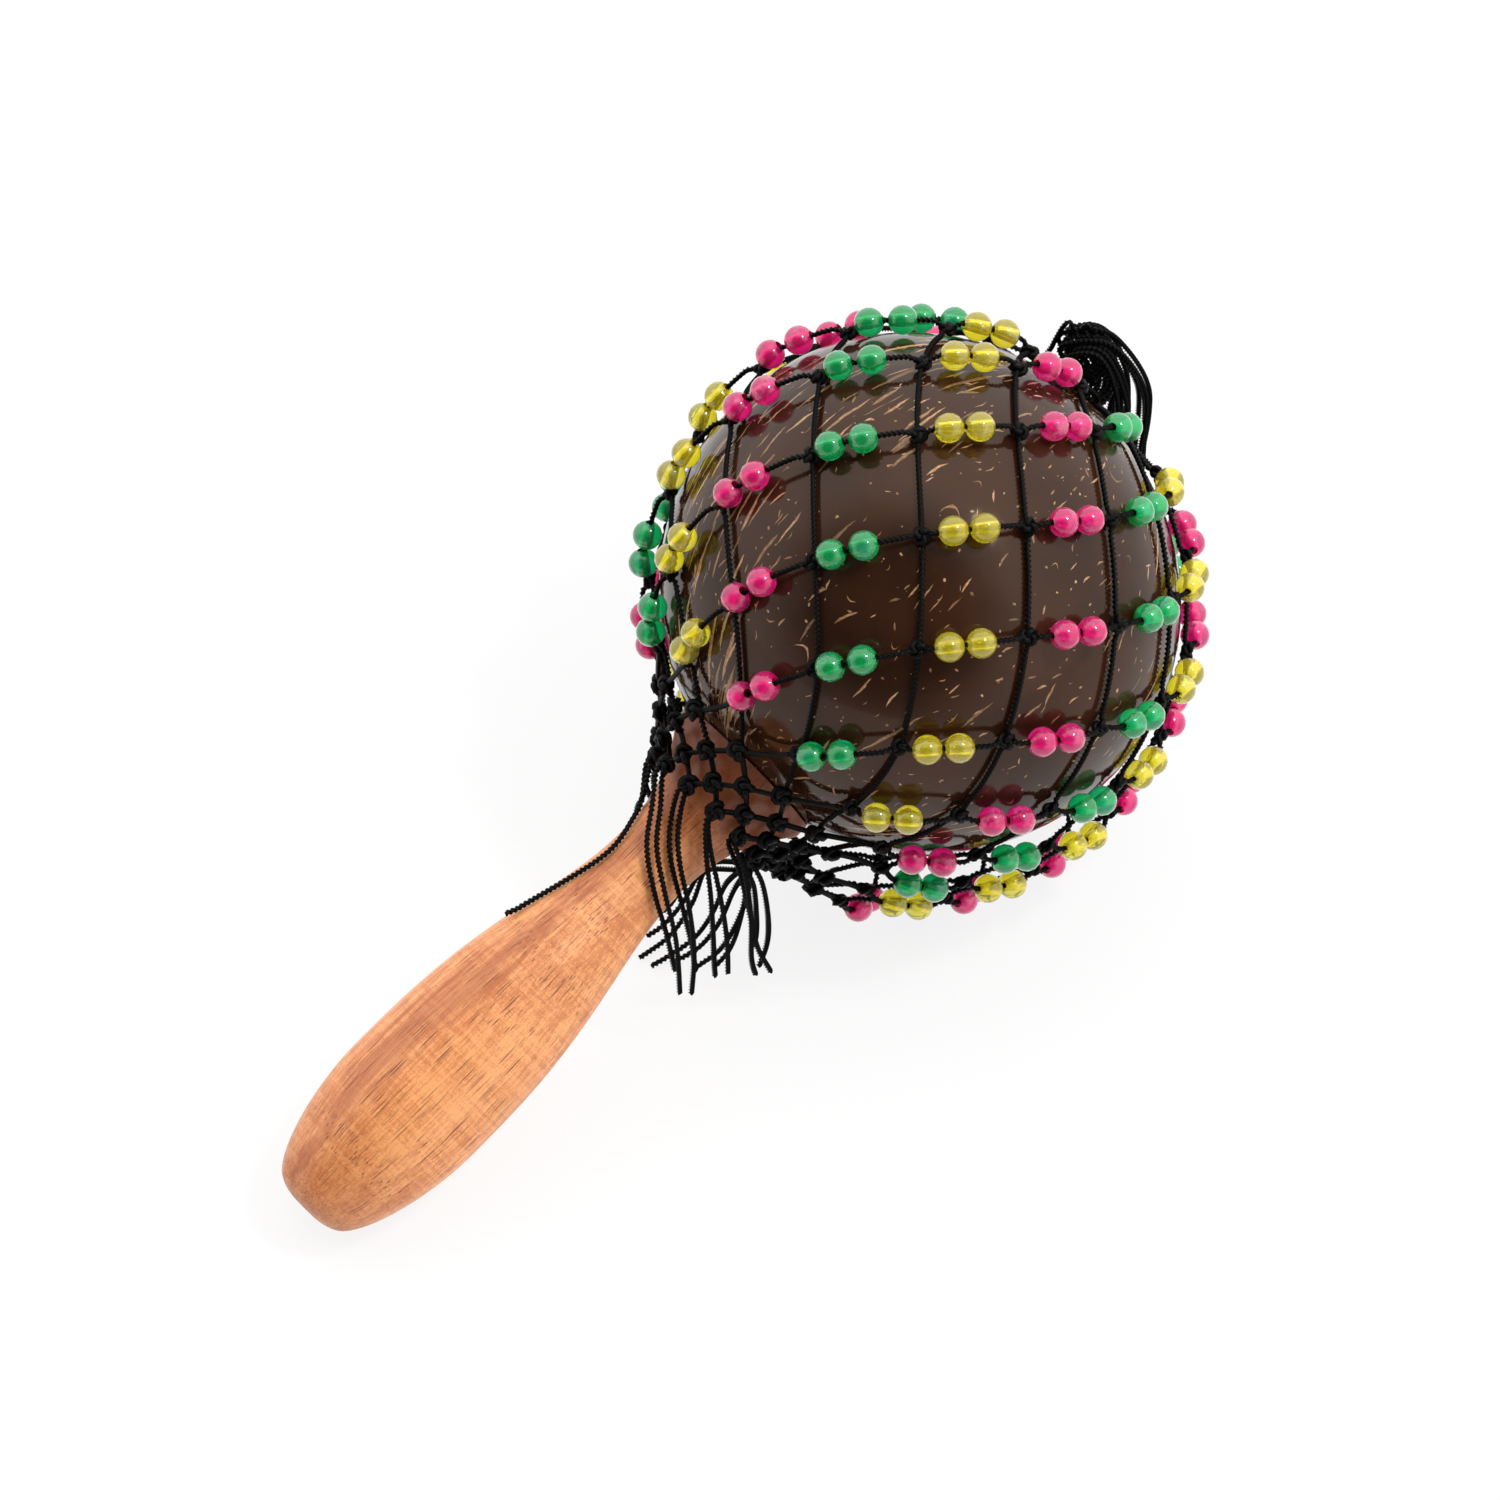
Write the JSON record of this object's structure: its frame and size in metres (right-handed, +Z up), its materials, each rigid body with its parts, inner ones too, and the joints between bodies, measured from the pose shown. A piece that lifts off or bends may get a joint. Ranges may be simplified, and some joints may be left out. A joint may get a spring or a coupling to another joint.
{
  "type": "cabasa",
  "caption": "Hand shaker: a hollow coconut shell on a turned wooden handle, wrapped in a loose knotted cord net threaded with small round beads that spins round the shell.",
  "frame": {"origin": "on the table, under the middle of the instrument's bounding box without its free cord ends, as it lies at rest on its handle and on the beads under the shell", "axes": "+X from the handle towards the shell, +Z up; the instrument's own axis lies in the XZ plane and rises 16.9 degrees towards the shell"},
  "size_m": [0.2377, 0.1168, 0.1183],
  "materials": {
    "coconut": "polished dark coconut shell with tan fibre flecks",
    "handle_wood": "satin reddish-brown hardwood with short dark pores",
    "net_cord": "twisted black synthetic cord",
    "beads": "clear tinted plastic beads with a pearly coat, in pink, green and yellow, on black cord",
    "tassel_cord": "twisted black synthetic cord",
    "fringe_cord": "twisted black synthetic cord"
  },
  "bodies": {
    "shaker": {"coconut_shell": "coconut", "handle": "handle_wood"},
    "net": {"bare_cord_01": "net_cord", "bare_cord_02": "net_cord", "bare_cord_03": "net_cord", "bare_cord_04": "net_cord", "bare_cord_05": "net_cord", "bare_cord_06": "net_cord", "bare_cord_07": "net_cord", "bare_cord_08": "net_cord", "bare_cord_09": "net_cord", "bare_cord_10": "net_cord", "bare_cord_11": "net_cord", "bare_cord_12": "net_cord", "beaded_cord_01": "beads", "beaded_cord_02": "beads", "beaded_cord_03": "beads", "beaded_cord_04": "beads", "beaded_cord_05": "beads", "beaded_cord_06": "beads", "beaded_cord_07": "beads", "beaded_cord_08": "beads", "beaded_cord_09": "beads", "beaded_cord_10": "beads", "beaded_cord_11": "beads", "beaded_cord_12": "beads", "tassel_stem": "tassel_cord", "tassel_strand_01": "tassel_cord", "tassel_strand_02": "tassel_cord", "tassel_strand_03": "tassel_cord", "tassel_strand_04": "tassel_cord", "tassel_strand_05": "tassel_cord", "tassel_strand_06": "tassel_cord", "tassel_strand_07": "tassel_cord", "tassel_strand_08": "tassel_cord", "fringe_strand_01": "fringe_cord", "fringe_strand_02": "fringe_cord", "fringe_strand_03": "fringe_cord", "fringe_strand_04": "fringe_cord", "fringe_strand_05": "fringe_cord", "fringe_strand_06": "fringe_cord", "fringe_strand_07": "fringe_cord", "fringe_strand_08": "fringe_cord", "fringe_strand_09": "fringe_cord", "fringe_strand_10": "fringe_cord", "fringe_strand_11": "fringe_cord", "fringe_strand_12": "fringe_cord"}
  },
  "joints": [
    {"name": "net_spin", "type": "hinge", "parent": "shaker", "child": "net", "pos_m": [0.05352, -0.00019, 0.05966], "axis": [0.957, 0, 0.2902], "continuous": true}
  ]
}
